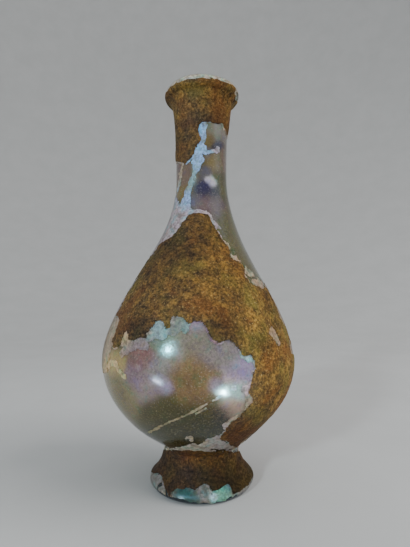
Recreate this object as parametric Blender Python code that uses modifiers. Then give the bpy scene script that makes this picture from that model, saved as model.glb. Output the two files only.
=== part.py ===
"""Free-blown glass ointment flask: a pear-shaped body, a cylindrical neck with a
rolled rim, and a flared foot with a hollow underside.

The flask stands on Z = 0. Its outline is turned about the neck's axis, then the
belly is let sag to one side, as the blown one has. Lengths are in metres.
Run with: blender --background --python part.py
"""
import math

import bmesh
import bpy

# Overall height, from the surface it stands on to the top of the rim
HEIGHT = 0.168

# Rim: a round roll
RIM_RADIUS = 0.0164
ROLL_WIDTH = 0.0066
ROLL_HEIGHT = 0.0050

# How far below the roll the neck's own curve ends
NECK_SEAT = 0.0012

# Neck: straight below, a little wider under the rim
NECK_LENGTH = 0.0405
NECK_RADIUS = 0.0111
NECK_TOP_RADIUS = 0.0129
FLARE_LENGTH = 0.020

# Belly: its widest level, and how full its upper and lower curves are
BELLY_RADIUS = 0.0398
BELLY_HEIGHT = 0.0522
UPPER_FULLNESS = 0.905
LOWER_FULLNESS = 2.12

# Waist: the crease where the belly meets the foot
WAIST_RADIUS = 0.0155
WAIST_HEIGHT = 0.0160

# Foot: rounded edge, flat standing ring and hollow underside
FOOT_RADIUS = 0.0214
FOOT_EDGE_HEIGHT = 0.0024
RING_RADIUS = 0.0185
RING_WIDTH = 0.0026
HOLLOW_DEPTH = 0.0065
FLARE_CURVE = 2.6

# Walls, measured square to the surface, and the glass under the cavity
NECK_WALL = 0.0022
BELLY_WALL = 0.0020
FLOOR_WALL = 0.0075

# How far the belly sags to -X: it is full between two levels and gone at the third
SAG = 0.0017
SAG_FULL_HEIGHT = 0.0256
SAG_FALL_HEIGHT = 0.054
SAG_TOP_HEIGHT = 0.122

# Points along each stretch of the outline, and segments around it
LOWER_POINTS = 8
UPPER_POINTS = 14
NECK_POINTS = 4
ROLL_POINTS = 7
FOOT_POINTS = 4
SEGMENTS = 60
MERGE_DISTANCE = 0.00001

# Angles where the foot's edge and the rim's roll leave their round arcs
FOOT_EDGE_END = math.radians(35)
ROLL_UNDERSIDE = math.radians(-80)
ROLL_INSIDE = math.radians(180)

GLASS_COLOUR = (0.33, 0.27, 0.13, 1.0)
GLASS_ROUGHNESS = 0.35
GLASS_TRANSMISSION = 0.6
GLASS_IOR = 1.5


def clear_scene():
    for old in list(bpy.data.objects):
        bpy.data.objects.remove(old, do_unlink=True)


def spread(start, end, count):
    """count + 1 evenly spaced values from start to end."""
    return [start + (end - start) * i / count for i in range(count + 1)]


def arc(centre, half_width, half_height, start, end, count):
    """Points of an elliptical arc in the profile plane, as (radius, height)."""
    radius, height = centre
    return [
        (radius + half_width * math.cos(a), height + half_height * math.sin(a))
        for a in spread(start, end, count)
    ]


def neck_start():
    return HEIGHT - NECK_LENGTH


def roll_centre():
    return (RIM_RADIUS - ROLL_WIDTH / 2, HEIGHT - ROLL_HEIGHT / 2)


def lower_belly():
    """From the waist up to the widest level."""
    points = []
    for t in spread(0, 1, LOWER_POINTS):
        swell = 1 - (1 - t) ** LOWER_FULLNESS
        radius = WAIST_RADIUS + (BELLY_RADIUS - WAIST_RADIUS) * swell
        height = WAIST_HEIGHT + (BELLY_HEIGHT - WAIST_HEIGHT) * t
        points.append((radius, height))
    return points


def upper_belly():
    """From above the widest level up to the start of the neck."""
    points = []
    for t in spread(0, 1, UPPER_POINTS)[1:]:
        swell = (1 + math.cos(math.pi * t ** UPPER_FULLNESS)) / 2
        radius = NECK_RADIUS + (BELLY_RADIUS - NECK_RADIUS) * swell
        height = BELLY_HEIGHT + (neck_start() - BELLY_HEIGHT) * t
        points.append((radius, height))
    return points


def neck():
    """The neck's flare, from its straight part up to the underside of the rim."""
    top = HEIGHT - ROLL_HEIGHT - NECK_SEAT
    points = []
    for t in spread(0, 1, NECK_POINTS):
        radius = NECK_RADIUS + (NECK_TOP_RADIUS - NECK_RADIUS) * t * t
        points.append((radius, top - FLARE_LENGTH * (1 - t)))
    return points


def outer_wall():
    """The blown wall's outside, from the waist up to the underside of the rim."""
    return lower_belly() + upper_belly() + neck()


def wall_at(height):
    """Wall thickness, changing evenly from the belly to the neck."""
    share = (height - BELLY_HEIGHT) / (neck_start() - BELLY_HEIGHT)
    return BELLY_WALL + (NECK_WALL - BELLY_WALL) * min(max(share, 0), 1)


def inset(points):
    """The same outline, moved inwards by the wall, square to the surface."""
    moved = []
    for i, (radius, height) in enumerate(points):
        below = points[max(i - 1, 0)]
        above = points[min(i + 1, len(points) - 1)]
        along = (above[0] - below[0], above[1] - below[1])
        length = math.hypot(*along)
        wall = wall_at(height)
        moved.append((radius - wall * along[1] / length, height + wall * along[0] / length))
    return moved


def cavity():
    """The inside, from the middle of its floor up to the rim."""
    floor = HOLLOW_DEPTH + FLOOR_WALL
    walls = [p for p in inset(outer_wall()) if p[0] >= WAIST_RADIUS or p[1] > BELLY_HEIGHT]
    edge_radius, edge_height = walls[0]
    bowl = [
        (edge_radius * t, floor + (edge_height - floor) * t * t)
        for t in spread(0, 1, FOOT_POINTS)[:-1]
    ]
    return bowl + walls


def rim():
    """The roll, from its inner side over the top and down to its underside."""
    half_width, half_height = ROLL_WIDTH / 2, ROLL_HEIGHT / 2
    top = math.pi / 2
    inner = arc(roll_centre(), half_width, half_height, ROLL_INSIDE, top, ROLL_POINTS // 2)
    outer = arc(roll_centre(), half_width, half_height, top, ROLL_UNDERSIDE, ROLL_POINTS)
    return inner + outer[1:]


def foot():
    """From below the waist down the flare, round the edge and along the ring."""
    half_width = FOOT_RADIUS - RING_RADIUS
    edge = arc(
        (RING_RADIUS, FOOT_EDGE_HEIGHT), half_width, FOOT_EDGE_HEIGHT,
        FOOT_EDGE_END, -math.pi / 2, FOOT_POINTS + 1,
    )
    edge_radius, edge_height = edge[0]
    flare = []
    for t in spread(0, 1, FOOT_POINTS)[1:-1]:
        radius = WAIST_RADIUS + (edge_radius - WAIST_RADIUS) * t ** FLARE_CURVE
        flare.append((radius, WAIST_HEIGHT + (edge_height - WAIST_HEIGHT) * t))
    return flare + edge


def underside():
    """The hollow under the foot, from the ring's inner edge to its middle."""
    ring_inner = RING_RADIUS - RING_WIDTH
    return [
        (ring_inner * math.cos(a), HOLLOW_DEPTH * math.sin(a))
        for a in spread(0, math.pi / 2, FOOT_POINTS)
    ]


def profile():
    """The whole outline, from the cavity's floor over the rim to the underside."""
    outside = list(reversed(outer_wall()))
    return cavity() + rim() + outside + foot() + underside()


def smooth_step(low, high, value):
    t = min(max((value - low) / (high - low), 0), 1)
    return t * t * (3 - 2 * t)


def sag_at(height):
    """How far the wall lies to -X of the neck's axis at a height."""
    rise = smooth_step(WAIST_HEIGHT, SAG_FULL_HEIGHT, height)
    fall = 1 - smooth_step(SAG_FALL_HEIGHT, SAG_TOP_HEIGHT, height)
    return SAG * rise * fall


def axis_x():
    """The neck's and foot's axis: the widest level of the belly is centred on 0."""
    return sag_at(BELLY_HEIGHT)


def glass():
    material = bpy.data.materials.new("weathered_glass")
    material.use_nodes = True
    shader = material.node_tree.nodes["Principled BSDF"]
    shader.inputs["Base Color"].default_value = GLASS_COLOUR
    shader.inputs["Roughness"].default_value = GLASS_ROUGHNESS
    shader.inputs["Metallic"].default_value = 0.0
    shader.inputs["Transmission Weight"].default_value = GLASS_TRANSMISSION
    shader.inputs["IOR"].default_value = GLASS_IOR
    return material


def turned(name, points, collection):
    """An object made by turning an outline about Z."""
    mesh = bpy.data.meshes.new(name + "_outline")
    edges = [(i, i + 1) for i in range(len(points) - 1)]
    mesh.from_pydata([(radius, 0, height) for radius, height in points], edges, [])
    turning = bpy.data.objects.new(name + "_outline", mesh)
    collection.objects.link(turning)
    screw = turning.modifiers.new("turn", "SCREW")
    screw.angle = math.tau
    screw.steps = SEGMENTS
    screw.render_steps = SEGMENTS
    screw.use_merge_vertices = True
    screw.merge_threshold = MERGE_DISTANCE
    bpy.context.view_layer.update()
    evaluated = turning.evaluated_get(bpy.context.evaluated_depsgraph_get())
    solid = bpy.data.objects.new(name, bpy.data.meshes.new_from_object(evaluated))
    bpy.data.objects.remove(turning, do_unlink=True)
    collection.objects.link(solid)
    return solid


def let_sag(flask):
    """Move each level of the flask sideways by its sag."""
    shape = bmesh.new()
    shape.from_mesh(flask.data)
    for vertex in shape.verts:
        vertex.co.x += axis_x() - sag_at(vertex.co.z)
    shape.to_mesh(flask.data)
    shape.free()


def make_flask(collection):
    flask = turned("flask", profile(), collection)
    let_sag(flask)
    flask.data.materials.clear()
    flask.data.materials.append(glass())
    flask.data.shade_smooth()
    flask.data.set_sharp_from_angle(angle=math.radians(40))
    return flask


def main():
    clear_scene()
    collection = bpy.data.collections.new("ointment_flask")
    bpy.context.scene.collection.children.link(collection)
    make_flask(collection)


main()
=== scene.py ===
"""The look of the blown-glass ointment flask: weathered glass under an ochre crust.

The glass is one hollow mesh on the solid's own outline. Pale flakes lie on it, and
the crust lies over both, each a thin closed shell with a ragged edge. Where the
photo shows the flask, the edges follow outlines given in the photo's pixels, which
are carried onto the glass through the camera. Round the back, noise sets them.
"""
import math

import bpy
import numpy as np
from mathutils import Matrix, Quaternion, Vector
from mathutils.bvhtree import BVHTree


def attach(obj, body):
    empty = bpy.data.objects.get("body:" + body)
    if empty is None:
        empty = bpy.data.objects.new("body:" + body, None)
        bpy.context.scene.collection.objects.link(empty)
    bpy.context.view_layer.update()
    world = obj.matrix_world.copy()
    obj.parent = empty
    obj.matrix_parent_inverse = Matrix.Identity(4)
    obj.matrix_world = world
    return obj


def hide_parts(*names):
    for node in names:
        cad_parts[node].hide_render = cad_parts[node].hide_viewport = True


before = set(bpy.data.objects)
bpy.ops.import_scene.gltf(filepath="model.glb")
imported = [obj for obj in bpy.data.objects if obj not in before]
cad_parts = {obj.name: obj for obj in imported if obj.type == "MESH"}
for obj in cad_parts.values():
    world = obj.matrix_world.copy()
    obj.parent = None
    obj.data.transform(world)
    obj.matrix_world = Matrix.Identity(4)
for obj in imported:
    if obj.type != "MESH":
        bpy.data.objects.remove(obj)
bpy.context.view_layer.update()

MM = 0.001

# Noise: cells before it repeats, where its cells start, and how many sizes lie over each other
LATTICE_CELLS = 32
LATTICE_START = 1000.5
OCTAVES = 3

# The solid's sizes
HEIGHT = 168 * MM
RIM_RADIUS = 16.4 * MM
ROLL_WIDTH = 6.6 * MM
ROLL_HEIGHT = 5.0 * MM
NECK_SEAT = 1.2 * MM
NECK_LENGTH = 40.5 * MM
NECK_START = HEIGHT - NECK_LENGTH
NECK_RADIUS = 11.1 * MM
NECK_TOP_RADIUS = 12.9 * MM
FLARE_LENGTH = 20 * MM
BELLY_RADIUS = 39.8 * MM
BELLY_HEIGHT = 52.2 * MM
UPPER_FULLNESS = 0.905
LOWER_FULLNESS = 2.12
WAIST_RADIUS = 15.5 * MM
WAIST_HEIGHT = 16 * MM
FOOT_RADIUS = 21.4 * MM
FOOT_EDGE_HEIGHT = 2.4 * MM
RING_RADIUS = 18.5 * MM
RING_WIDTH = 2.6 * MM
HOLLOW_DEPTH = 6.5 * MM
FLARE_CURVE = 2.6
NECK_WALL = 2.2 * MM
BELLY_WALL = 2.0 * MM
FLOOR_WALL = 7.5 * MM
SAG = 1.7 * MM
SAG_FULL_HEIGHT = 25.6 * MM
SAG_FALL_HEIGHT = 54 * MM
SAG_TOP_HEIGHT = 122 * MM
FOOT_EDGE_END = math.radians(35)
ROLL_UNDERSIDE = math.radians(-80)
ROLL_INSIDE = math.radians(180)

# The camera, as the photo was taken: close, a little right of the neck's axis
FOCAL_PIXELS = 385
PHOTO_WIDTH = 410
PHOTO_HEIGHT = 547
SENSOR = 36
CAMERA_DISTANCE = 166.8 * MM
CAMERA_HEIGHT = 76.5 * MM
CAMERA_RIGHT = 1.4 * MM
CAMERA_PITCH = math.radians(3.57)

# What a pixel of the photo measures at the neck's axis
PIXEL_SIZE = CAMERA_DISTANCE / FOCAL_PIXELS

# How many points each stretch of the outline has before it is spaced evenly
ROLL_POINTS = 60
NECK_POINTS = 30
UPPER_POINTS = 120
LOWER_POINTS = 80
FOOT_POINTS = 30
FOOT_EDGE_POINTS = 24
HOLLOW_POINTS = 24
BOWL_POINTS = 30

# Meshes: how far apart their points lie
CRUST_STEP = 0.55 * MM
FLAKE_STEP = 0.36 * MM
BACK_FLAKE_STEP = 0.7 * MM
SCRATCH_STEP = 0.22 * MM
GLASS_ROW_STEP = 0.95 * MM
INNER_ROW_STEP = 2.4 * MM
GLASS_FRONT_COLUMNS = 150
GLASS_BACK_COLUMNS = 76
OUTLINE_STEP = 0.1 * MM
WALL_STEP = 0.2 * MM
CORNER_SOFTNESS = 0.8 * MM
SHARP_EDGE = math.radians(55)

# Layers, measured from the solid's surface: the glass lies a little under it
GLASS_LEVEL = -0.20 * MM
LAYER_BASE = -0.24 * MM
FLAKE_LEVEL = -0.04 * MM
CRUST_EDGE_LEVEL = 0.12 * MM
CRUST_LEVEL = 0.36 * MM
CRUST_SLOPE = 1.2 * MM
CREASE_REACH = 4 * MM
CREASE_FADE_HEIGHT = 150 * MM
CREASE_FULL_HEIGHT = 156 * MM
UNDER_CRUST = 0.35 * MM
LIP_WEAR = 2.8 * MM
LIP_FLAKES = 0.2 * MM
EDGE_LUMPS = 0.4

# Where the layers start and end along the outline, and the front's reach round, in radians
LAYER_START = 2 * MM
LAYER_END = 6 * MM
FRONT_MARGIN = 0.12

# The blown wall's slight waves: share, how many go round, how far each climbs, and start
WAVE_HEIGHT = 0.16 * MM
WAVES = [(1, 2, 17 * MM, 0), (0.7, 3, -9 * MM, 1), (0.5, 5, 6 * MM, 2)]
CALM_REACH = 6 * MM
CALM_START = 0.5 * MM
LIFT_START = -0.2 * MM
LIFT_FULL = 1.5 * MM

# Where the photo stops setting what is there, past the silhouette
SEEN_FROM = -0.34
SEEN_FULL = -0.12
SEEN_WAVER = 0.5
SEEN_WAVER_SIZE = 18 * MM
SEEN_SEED = 15

# Kinds of noise in the layers' edges and tops: reach, size of its lumps, seed and bias
BACK_CRUST = (7 * MM, 26 * MM, 11, 0.24)
CRUST_EDGE = (0.70 * MM, 3.2 * MM, 21, 0)
CRUST_CRUMBS = (0.50 * MM, 1.2 * MM, 31, 0)
WORN_LIP = (0.8 * MM, 3 * MM, 41, 0)
BACK_FLAKES = (4 * MM, 14 * MM, 51, -0.45)
CRUST_FRINGE = (1.5 * MM, 5 * MM, 61, 0.3)
FLAKE_EDGE = (0.8 * MM, 2.4 * MM, 71, -0.05)
FLAKE_CRUMBS = (0.7 * MM, 1.1 * MM, 75, 0)
CRUST_LUMPS = (0.14 * MM, 6 * MM, 81, 0)
CRUST_GRAINS = (0.09 * MM, 1.5 * MM, 91, 0)
FLAKE_LUMPS = (0.03 * MM, 1.5 * MM, 95, 0)
FLAKE_CURL = (0.06 * MM, 3 * MM, 97, 0)

# The same for the scratch and for the film's colours, with the reach in pixels
SCRATCH_WANDER = (2.2, 5 * MM, 105, 0)
SCRATCH_EDGE = (1.1, 2.2 * MM, 101, 0)
SCRATCH_GAPS = (1.2, 0.9 * MM, 111, 0)
FILM_DRIFT = [(3, 6 * MM, 121, 0), (3, 6 * MM, 131, 0)]

# Heights where the crust is cut into pieces, and how far the scratch's piece runs
NECK_CUT = 104 * MM
BELLY_CUT = 58 * MM
FOOT_CUT = 20 * MM
SCRATCH_TOP = 60 * MM
SCRATCH_FOOT = 20 * MM
SCRATCH_TURN = (math.radians(215), math.radians(300))

# Bare places in the crust, as outlines in the photo's pixels
BARE_NECK = [
    (202, 122), (212, 122.5), (223, 123), (226.5, 131), (229, 137), (245, 140), (245, 190), (262, 240),
    (300, 280), (300, 356), (291.5, 354), (290, 344), (288, 336.3), (285.5, 328), (283, 322.5),
    (280.5, 318), (276.5, 309), (272.7, 300), (268.5, 292.5), (265.5, 286.5), (262, 290), (257, 287),
    (249.6, 282), (244.7, 276), (244.5, 268), (242, 263.5), (235, 261), (229, 255), (228, 247),
    (221.6, 239), (218, 232), (211, 222), (208.5, 215.5), (202, 213), (194, 213.6), (188, 216), (180, 226),
    (171, 237), (163, 242), (157, 246), (150, 252), (140, 250), (150, 225), (165, 200), (168, 165),
    (176, 161), (185, 162.5), (192, 158), (194, 150), (199, 144), (201, 139), (198, 130),
]
BARE_BELLY = [
    (120, 317), (118.5, 325), (113, 338), (111.5, 348), (117, 348), (120, 344), (121.5, 339), (124, 333),
    (127.5, 328.5), (128.4, 339.5), (134, 340.5), (140, 337), (145.7, 338), (146.6, 333), (148.7, 330),
    (152, 327.4), (155.7, 321.6), (159, 320.5), (163, 321.5), (164.4, 325), (166.5, 328.5), (169.3, 327.3),
    (169.8, 323), (171, 319), (172.5, 316.8), (181.4, 316.4), (184.7, 319.9), (187.6, 324), (190, 325),
    (193, 321), (200.5, 320), (203.8, 323), (207.5, 328.2), (208.3, 333.2), (213, 339.5), (218, 342.5),
    (221.5, 341.5), (228.7, 339.5), (233.7, 342.3), (237.3, 346.4), (241, 351), (242, 355.6),
    (245.3, 356.4), (250.2, 355), (253.6, 359.7), (256.5, 368.8), (253, 373.8), (252.3, 379.6), (250, 388),
    (248, 393), (252, 397), (252.4, 402), (246.5, 408.6), (243, 412.5), (239.6, 416), (233.7, 420.5),
    (229.3, 425), (225, 428), (225.7, 431), (220.5, 435), (219.8, 439), (226.4, 440.3), (230.8, 445.5),
    (236.7, 447), (240, 444), (246, 439), (252, 434), (258, 436), (246, 452), (200, 451), (160, 450),
    (140, 445), (95, 400), (88, 350), (100, 318), (112, 312),
]
BARE_FOOT = [
    (145, 470), (152.5, 472.5), (158, 473.4), (162.6, 476), (163, 480), (164, 483), (166.8, 490),
    (168.2, 496), (171, 497), (170.6, 493.5), (176.7, 488.2), (183.7, 489.4), (189.3, 487.8), (195, 490.5),
    (199, 486.6), (205.4, 483.3), (209.6, 484.4), (211.8, 491.2), (217.4, 489.6), (223.7, 486.6),
    (227.2, 483.6), (230.7, 487.3), (232, 493), (234, 494.6), (240.5, 490.3), (248.2, 484.4), (251, 478.6),
    (256, 476), (262, 490), (240, 515), (200, 520), (160, 510), (140, 490),
]
BARE_RIM = [(236, 85), (234.5, 92), (236, 100), (240, 103), (246, 98), (243, 84)]
BARE_SLIVER = [
    (270.4, 326.5), (272.4, 325.5), (274.2, 329), (277.8, 335.6), (279.8, 341), (280, 345.5),
    (278, 346), (275.3, 341.7), (271.7, 336.6), (269, 332.6),
]
BARE_LEFT_EDGE = [
    (161, 243), (147.8, 260), (138, 276.3), (131.2, 288), (122.5, 303), (115, 318), (98, 318),
    (112, 280), (140, 240),
]
BARE_PLACES = [BARE_NECK, BARE_BELLY, BARE_FOOT, BARE_RIM, BARE_SLIVER, BARE_LEFT_EDGE]

# Pale flakes left on the bare glass, as outlines in the photo's pixels
PALE_NECK_STRIP = [
    (202, 122), (208, 122), (206, 129), (205, 142), (207, 147), (206, 151), (203, 154),
    (203.5, 163), (199.5, 170), (195, 176), (193.5, 184), (190.5, 192), (190, 202),
    (192.5, 210), (184, 215), (180, 207), (183, 195), (187, 186), (190.5, 178), (192, 172),
    (192, 160), (193, 152), (197, 146), (200, 139), (198, 130),
]
PALE_SPUR = [
    (203, 148), (209, 149.6), (214, 149), (217, 147.2), (220.5, 147.2), (220.5, 152.4), (216, 153),
    (210, 153.8), (203, 154),
]
PALE_SHOULDER = [
    (176, 196), (179, 203), (183, 207), (188, 209), (196, 208.5), (205, 210), (209, 212.5),
    (209, 216), (194, 215), (188, 218), (171, 240), (157, 249), (150, 252), (158, 237),
    (167, 216), (173, 203),
]
PALE_EDGE_TOP = [(209, 214), (214, 219), (221, 226), (221, 229), (216, 230), (211, 223)]
PALE_EDGE_MIDDLE = [(222, 238), (228, 243), (232, 248), (230, 250), (226, 246)]
PALE_EDGE_NOTCH = [(229, 252), (236, 256), (237, 260), (231, 258)]
PALE_EDGE_LOW = [(245, 268), (252, 271), (254, 276), (249, 277), (245, 273)]
PALE_EDGE_END = [(251, 281), (258, 278), (264, 284), (263, 290), (256, 288)]
PALE_LEFT_SIDE = [
    (120, 317), (119, 326), (113.5, 339), (112, 349), (110, 358), (107, 363), (108, 370),
    (104, 374), (102, 366), (98, 370), (98, 330), (110, 316),
]
PALE_SPIKE = [(127.9, 326), (129, 333), (128.8, 346), (119, 347), (121.5, 339), (124.5, 332)]
PALE_CRUMBS = [
    (128, 340), (140, 337), (146, 338), (150, 344), (148, 351), (138, 349), (130, 353),
    (121, 359), (118, 352), (124, 347),
]
PALE_WINDOW_TOP = [
    (144, 341), (146, 331), (153, 325), (156, 320), (164, 320), (166.5, 328), (170, 327),
    (171, 317), (183, 315), (189, 325), (187.5, 331), (184.5, 334.5), (182, 330), (178, 335),
    (173, 337), (168, 334), (165.5, 339), (161, 341), (157, 338.5), (152, 340.5), (148, 343),
]
PALE_WINDOW_NOTCH = [
    (242, 356), (246, 356.5), (250, 354), (253.5, 359), (252.5, 362), (248, 363.5), (244.5, 360),
]
PALE_WINDOW_RIGHT = [(246, 395), (252, 396), (252, 403), (247, 410), (245, 404)]
PALE_JUNCTION = [
    (176, 448.3), (185, 446), (192, 444.2), (202, 444.6), (205.5, 441.8), (209.6, 438.2),
    (216, 436.3), (220, 436.5), (222, 440.5), (225, 442), (229, 444.3), (235, 447.5),
    (236, 450.5), (224, 449.5), (213, 449.6), (204, 451), (192, 451), (178, 451.5),
]
PALE_JUNCTION_RIGHT = [
    (238, 446), (241, 441), (247, 436), (252, 432), (254, 436), (247, 443), (243, 448),
]
PALE_JUNCTION_LEFT = [(164, 447), (168.5, 449), (170.5, 456), (168, 455), (165.5, 451)]
PALE_JUNCTION_SPIKE = [(171, 448.6), (175, 449.6), (178, 453.8), (174.5, 452.6)]
PALE_LOW_CRUMBS = [
    (184, 439.5), (186.5, 436.5), (190.5, 436), (193.5, 438.5), (192, 442), (189.5, 441),
    (190.5, 438.5), (187.5, 438.5), (185.5, 442.5),
]
PALE_NECK_LINE = [
    (193, 151.5), (190.5, 157), (185.5, 160), (183.2, 166), (181.2, 176), (179, 188),
    (177, 197), (175.5, 196), (177.5, 187), (179.6, 175), (181.5, 165), (184, 158.5), (189, 154),
]
PALE_FOOT_LEFT = [
    (148, 471), (158, 473.4), (163.5, 476), (163, 480.5), (159, 484), (157.5, 487.5),
    (161.5, 485.5), (164.5, 488), (167, 494.5), (165.5, 496.5), (158, 490), (152, 485), (148, 480),
]
PALE_FOOT_TEAL = [
    (170, 497), (171, 491), (177, 486.5), (195, 488.5), (198.5, 487), (198, 503.5), (187, 501.5),
    (178, 498.5),
]
PALE_FOOT_GREY = [
    (196, 489), (205.5, 482.5), (210, 484), (212.5, 491), (213, 503.5), (196, 503.5),
]
PALE_FOOT_AQUA = [
    (211, 490), (219, 488), (227, 483), (232.5, 488), (232.8, 495.5), (225, 501), (211, 503),
]
PALE_FOOT_RIGHT = [
    (231, 493.5), (240, 489.5), (248, 484), (251, 478), (252.5, 480), (249, 487), (241, 493.5), (232, 498),
]
PALE_RIGHT_SIDE = [
    (272, 296), (275.5, 307), (279, 317), (281.5, 322), (284.3, 329), (287, 337), (289, 345),
    (302, 345), (300, 320), (285, 285),
]
PALE_LEFT_EDGE = [
    (157, 249), (148, 259), (138, 275.5), (131, 287.5), (122, 303), (98, 303), (112, 270),
    (140, 240),
]
# Pale aqua and pink flakes at the right glint: real pale flakes, partly a painted highlight
PALE_AQUA_SPOT = [(231, 386), (236, 385), (237, 390), (233, 393), (230, 391)]
PALE_PINK_SPOT = [(241, 385), (251, 386), (252, 391), (247, 396), (241, 393)]
PALE_LEFT_STREAK = [
    (108, 362), (111, 359.5), (116, 359), (119, 362.5), (120, 367), (123.5, 372.5), (126, 379.5),
    (122.5, 378), (118, 372), (114.5, 367.5), (111, 367), (108.5, 371), (106, 367),
]
PALE_PLACES = [
    PALE_NECK_STRIP, PALE_SPUR, PALE_SHOULDER, PALE_EDGE_TOP, PALE_EDGE_MIDDLE,
    PALE_EDGE_NOTCH, PALE_EDGE_LOW, PALE_EDGE_END, PALE_LEFT_SIDE, PALE_SPIKE, PALE_CRUMBS,
    PALE_WINDOW_TOP, PALE_WINDOW_NOTCH, PALE_WINDOW_RIGHT, PALE_JUNCTION,
    PALE_JUNCTION_RIGHT, PALE_JUNCTION_LEFT, PALE_JUNCTION_SPIKE, PALE_LOW_CRUMBS,
    PALE_NECK_LINE, PALE_FOOT_LEFT, PALE_FOOT_TEAL, PALE_FOOT_GREY, PALE_FOOT_AQUA,
    PALE_FOOT_RIGHT, PALE_RIGHT_SIDE, PALE_LEFT_EDGE, PALE_AQUA_SPOT, PALE_PINK_SPOT,
    PALE_LEFT_STREAK, BARE_SLIVER,
]
SCRATCH = [
    (148.5, 433), (157, 428.5), (165, 425), (175, 420.3), (184, 416), (193, 411.3), (201.5, 406),
    (209, 401.8), (216, 398.3), (222, 395),
]
SCRATCH_CRUMBS = [
    (193, 413), (200, 408.5), (208, 405), (212, 401), (215, 403), (207, 409.5), (200, 413),
    (195, 417.5),
]
SCRATCH_HALF_WIDTH = 0.95
SCRATCH_CRUMB_DEPTH = 1.2

# Colours as the eye sees them, from 0 to 1
CREAM = (0.63, 0.56, 0.46)
GREY_WHITE = (0.43, 0.43, 0.41)
BUFF = (0.57, 0.48, 0.36)
DULL_CREAM = (0.56, 0.53, 0.40)
PALE_YELLOW = (0.76, 0.67, 0.47)
LAVENDER = (0.62, 0.58, 0.59)
LILAC_WHITE = (0.64, 0.62, 0.60)
MUTED_LAVENDER = (0.47, 0.42, 0.41)
PALE_BLUE = (0.50, 0.65, 0.80)
PALE_TEAL = (0.45, 0.58, 0.57)
PALE_GREEN = (0.40, 0.44, 0.37)
AQUA_WHITE = (0.70, 0.86, 0.89)
PINK_WHITE = (0.76, 0.68, 0.71)
LIP_CREAM = (0.68, 0.66, 0.58)
TEAL = (0.11, 0.29, 0.26)
BLUE_TEAL = (0.20, 0.34, 0.37)
AQUA = (0.37, 0.62, 0.53)
DEEP_TEAL = (0.43, 0.42, 0.47)
YELLOWISH = (0.73, 0.64, 0.41)
YELLOW_OLIVE = (0.51, 0.44, 0.28)
OLIVE = (0.40, 0.375, 0.25)
OLIVE_LIGHT = (0.54, 0.485, 0.33)
OLIVE_TAN = (0.50, 0.42, 0.38)
DARK_OLIVE = (0.37, 0.32, 0.07)
DIRT = (0.11, 0.09, 0.02)
FILM_DUST = (0.68, 0.64, 0.58)
TAN = (0.51, 0.40, 0.26)
GREY_TAN = (0.515, 0.49, 0.46)
LILAC_GREY = (0.56, 0.53, 0.55)
ROSE_GREY = (0.65, 0.57, 0.59)
MAUVE = (0.44, 0.375, 0.395)
BROWN_GREY = (0.33, 0.27, 0.22)
PINK = (0.535, 0.39, 0.40)
SHELL = (0.80, 0.68, 0.63)
VIOLET = (0.66, 0.60, 0.77)
VIOLET_GREY = (0.52, 0.43, 0.49)
DARK_VIOLET = (0.24, 0.20, 0.31)
# Painted highlight on the neck's glass
PAINTED_HIGHLIGHT_VIOLET = (0.93, 0.92, 0.99)
INDIGO = (0.22, 0.20, 0.38)
DEEP_BLUE = (0.05, 0.08, 0.13)
FILM_GREEN = (0.46, 0.50, 0.44)

# What the crust and the flakes turn to in places
OLIVE_EARTH = (0.33, 0.29, 0.12)
RUST = (0.35, 0.21, 0.08)
CRUST_DUST = (0.62, 0.53, 0.37)
PIT = (0.09, 0.07, 0.045)
STAIN = (0.27, 0.235, 0.17)

# Where each colour of the film and of the flakes lies: pixel x, y, reach and colour; a few pale spots are
# painted highlights and halos
FILM_COLOURS = [
    (222, 130, 8, GREY_TAN), (209, 141, 4, YELLOW_OLIVE), (216, 146, 4, DARK_VIOLET),
    # The two near-white violet spots on the neck are a painted highlight
    (209, 154, 3, DEEP_TEAL), (209, 180, 2.6, PAINTED_HIGHLIGHT_VIOLET), (212, 185, 2.4, PAINTED_HIGHLIGHT_VIOLET),
    (216, 162, 6, OLIVE_LIGHT), (206, 172, 4, DEEP_TEAL), (204, 190, 5, INDIGO),
    (213, 192, 5, DARK_VIOLET), (195, 202, 5, DEEP_TEAL), (206, 205, 8, MAUVE), (217, 207, 9, MAUVE),
    (184, 172, 8, OLIVE_TAN), (183, 192, 5, YELLOW_OLIVE), (227, 160, 9, OLIVE_TAN), (228, 188, 10, OLIVE),
    (234, 216, 12, OLIVE), (244, 246, 16, OLIVE), (262, 282, 14, OLIVE), (195, 340, 15, GREY_TAN),
    (156, 342, 5, FILM_GREEN), (173, 334, 6, FILM_GREEN), (198, 323, 7, VIOLET),
    (214, 351, 12, LILAC_GREY), (200, 325, 7, VIOLET_GREY), (188, 374, 16, TAN), (203, 388, 14, TAN),
    # The rose grey beside the left glint, the lilac grey below the key glint and the violet past the left
    # glint are painted highlight halos over the film's own colours
    (143, 360, 9, PINK), (135, 376, 8, VIOLET_GREY), (146, 387, 11, ROSE_GREY), (160, 370, 10, LILAC_GREY),
    (112, 366, 8, YELLOWISH), (179, 356, 6, LILAC_GREY), (165, 387, 5, VIOLET),
    # The dark olive along the belly's bottom is the glass's own olive, darkened with painted shade below
    # the belly
    (108, 385, 10, OLIVE_LIGHT), (122, 402, 13, OLIVE_LIGHT), (160, 412, 12, DARK_OLIVE),
    (178, 424, 12, DARK_OLIVE), (205, 424, 14, DARK_OLIVE), (222, 417, 8, BROWN_GREY),
    # The tiny pink-white spot at 138, 367 is a painted highlight
    (156, 438, 8, OLIVE), (238, 370, 9, VIOLET), (249, 369, 7, VIOLET), (138, 367, 2, PINK_WHITE),
    # The aqua-white, pink-white and violet spots round 224, 392 are the film's pale iridescent flecks,
    # brightened as a painted highlight halo round the right glint
    (228, 362, 8, LILAC_GREY), (229, 406, 9, SHELL), (224, 392, 5, AQUA_WHITE), (236, 390, 7, AQUA_WHITE),
    (246, 390, 5, PINK_WHITE), (236, 378, 5, PINK_WHITE), (228, 380, 4, PINK_WHITE), (214, 385, 5, VIOLET),
    (200, 500, 30, DEEP_BLUE),
]
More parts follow.
